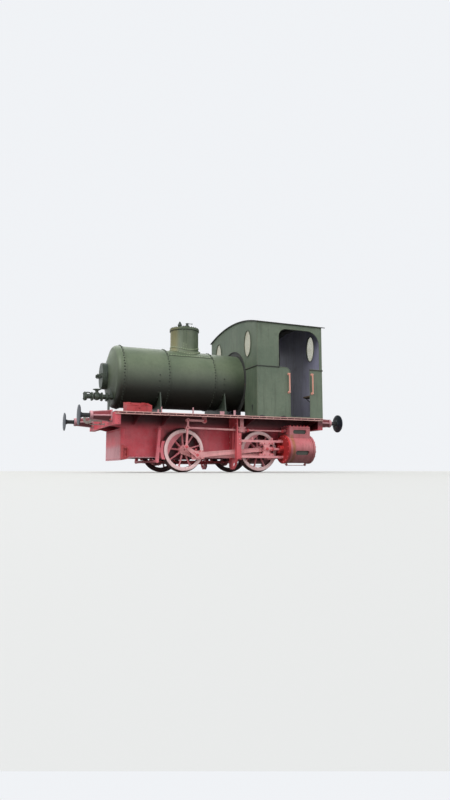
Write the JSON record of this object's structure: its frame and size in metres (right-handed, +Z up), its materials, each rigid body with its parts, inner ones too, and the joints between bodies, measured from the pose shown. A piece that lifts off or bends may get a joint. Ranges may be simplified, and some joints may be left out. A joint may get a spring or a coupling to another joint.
{
  "type": "fireless steam locomotive",
  "caption": "Small four-wheeled fireless shunting locomotive with a riveted steam storage vessel, arched cab, outside cylinders and coupled driving wheels.",
  "frame": {"origin": "on the centreline, midway between the buffer faces, level with the tips of the wheel flanges", "axes": "+X forwards to the manhole end, +Y to the left-hand side, +Z up"},
  "size_m": [5.57, 2.562, 3.2208],
  "materials": {
    "vessel_green": "weathered paint",
    "cab_green": "weathered paint",
    "roof_black": "matt paint",
    "frame_red": "weathered paint",
    "deck_red": "weathered paint",
    "motion_red": "faded paint",
    "cylinder_red": "faded paint over iron",
    "wheel_red": "faded paint",
    "axle_dark": "oily steel",
    "box_dark": "oily iron",
    "buffer_steel": "worn dark steel",
    "hook_grey": "worn steel",
    "fitting_green": "dark paint",
    "rail_red": "faded paint",
    "glass": "dusty"
  },
  "bodies": {
    "chassis": {"frame_plates": "frame_red", "frame_stretchers": "frame_red", "horn_stays": "frame_red", "axleboxes": "box_dark", "springs": "box_dark", "front_buffer_beam": "frame_red", "rear_buffer_beam": "frame_red", "deck": "deck_red", "deck_brackets": "frame_red", "buffer_cases": "motion_red", "buffer_plungers": "buffer_steel", "draw_hooks": "hook_grey", "storage_vessel": "vessel_green", "vessel_saddles": "fitting_green", "manhole": "fitting_green", "steam_dome": "vessel_green", "dome_fittings": "fitting_green", "cab_front_wall": "cab_green", "cab_rear_wall": "cab_green", "cab_side_left": "cab_green", "cab_side_right": "cab_green", "cab_roof": "roof_black", "waist_beading": "cab_green", "window_panes": "glass", "window_rims": "cab_green", "handrails": "rail_red", "cab_controls": "fitting_green", "filling_pipe": "fitting_green", "toolbox": "frame_red", "board_lugs": "motion_red", "brake_gear": "motion_red", "guard_brackets": "frame_red", "cylinder_left": "cylinder_red", "slide_bars_left": "motion_red", "crosshead_left": "motion_red", "motion_plate_left": "motion_red", "valve_motion_left": "motion_red", "valve_hangers_left": "motion_red", "cylinder_right": "cylinder_red", "slide_bars_right": "motion_red", "crosshead_right": "motion_red", "motion_plate_right": "motion_red", "valve_motion_right": "motion_red", "valve_hangers_right": "motion_red"},
    "front_axle_set": {"front_axle": "axle_dark", "front_wheel_left": "wheel_red", "front_wheel_right": "wheel_red", "return_crank_left": "motion_red", "return_crank_right": "motion_red"},
    "rear_axle_set": {"rear_axle": "axle_dark", "rear_wheel_left": "wheel_red", "rear_wheel_right": "wheel_red"},
    "coupling_rod_left": {"coupling_rod_left": "motion_red"},
    "main_rod_left": {"main_rod_left": "motion_red"},
    "eccentric_rod_left": {"eccentric_rod_left": "motion_red"},
    "coupling_rod_right": {"coupling_rod_right": "motion_red"},
    "main_rod_right": {"main_rod_right": "motion_red"},
    "eccentric_rod_right": {"eccentric_rod_right": "motion_red"}
  },
  "joints": [
    {"name": "front_axle_turn", "type": "hinge", "parent": "chassis", "child": "front_axle_set", "pos_m": [0.725, 0, 0.433], "axis": [0, 1, 0], "continuous": true},
    {"name": "rear_axle_turn", "type": "hinge", "parent": "chassis", "child": "rear_axle_set", "pos_m": [-0.895, 0, 0.433], "axis": [0, 1, 0], "continuous": true},
    {"name": "coupling_rod_left_pin", "type": "hinge", "parent": "front_axle_set", "child": "coupling_rod_left", "pos_m": [0.50713, 0.85, 0.33233], "axis": [0, 1, 0], "continuous": true},
    {"name": "main_rod_left_pin", "type": "hinge", "parent": "front_axle_set", "child": "main_rod_left", "pos_m": [0.50713, 0.902, 0.33233], "axis": [0, 1, 0], "continuous": true},
    {"name": "eccentric_rod_left_pin", "type": "hinge", "parent": "front_axle_set", "child": "eccentric_rod_left", "pos_m": [0.74598, 0.995, 0.486], "axis": [0, 1, 0], "continuous": true},
    {"name": "coupling_rod_right_pin", "type": "hinge", "parent": "front_axle_set", "child": "coupling_rod_right", "pos_m": [0.82567, -0.85, 0.21513], "axis": [0, 1, 0], "continuous": true},
    {"name": "main_rod_right_pin", "type": "hinge", "parent": "front_axle_set", "child": "main_rod_right", "pos_m": [0.82567, -0.902, 0.21513], "axis": [0, 1, 0], "continuous": true},
    {"name": "eccentric_rod_right_pin", "type": "hinge", "parent": "front_axle_set", "child": "eccentric_rod_right", "pos_m": [0.672, -0.995, 0.45398], "axis": [0, 1, 0], "continuous": true}
  ],
  "couplings": [
    {"joint": "rear_axle_turn", "follows": "front_axle_turn", "ratio": 1},
    {"joint": "coupling_rod_left_pin", "follows": "front_axle_turn", "ratio": -1},
    {"joint": "main_rod_left_pin", "follows": "front_axle_turn", "ratio": -1},
    {"joint": "eccentric_rod_left_pin", "follows": "front_axle_turn", "ratio": -1},
    {"joint": "coupling_rod_right_pin", "follows": "front_axle_turn", "ratio": -1},
    {"joint": "main_rod_right_pin", "follows": "front_axle_turn", "ratio": -1},
    {"joint": "eccentric_rod_right_pin", "follows": "front_axle_turn", "ratio": -1}
  ]
}
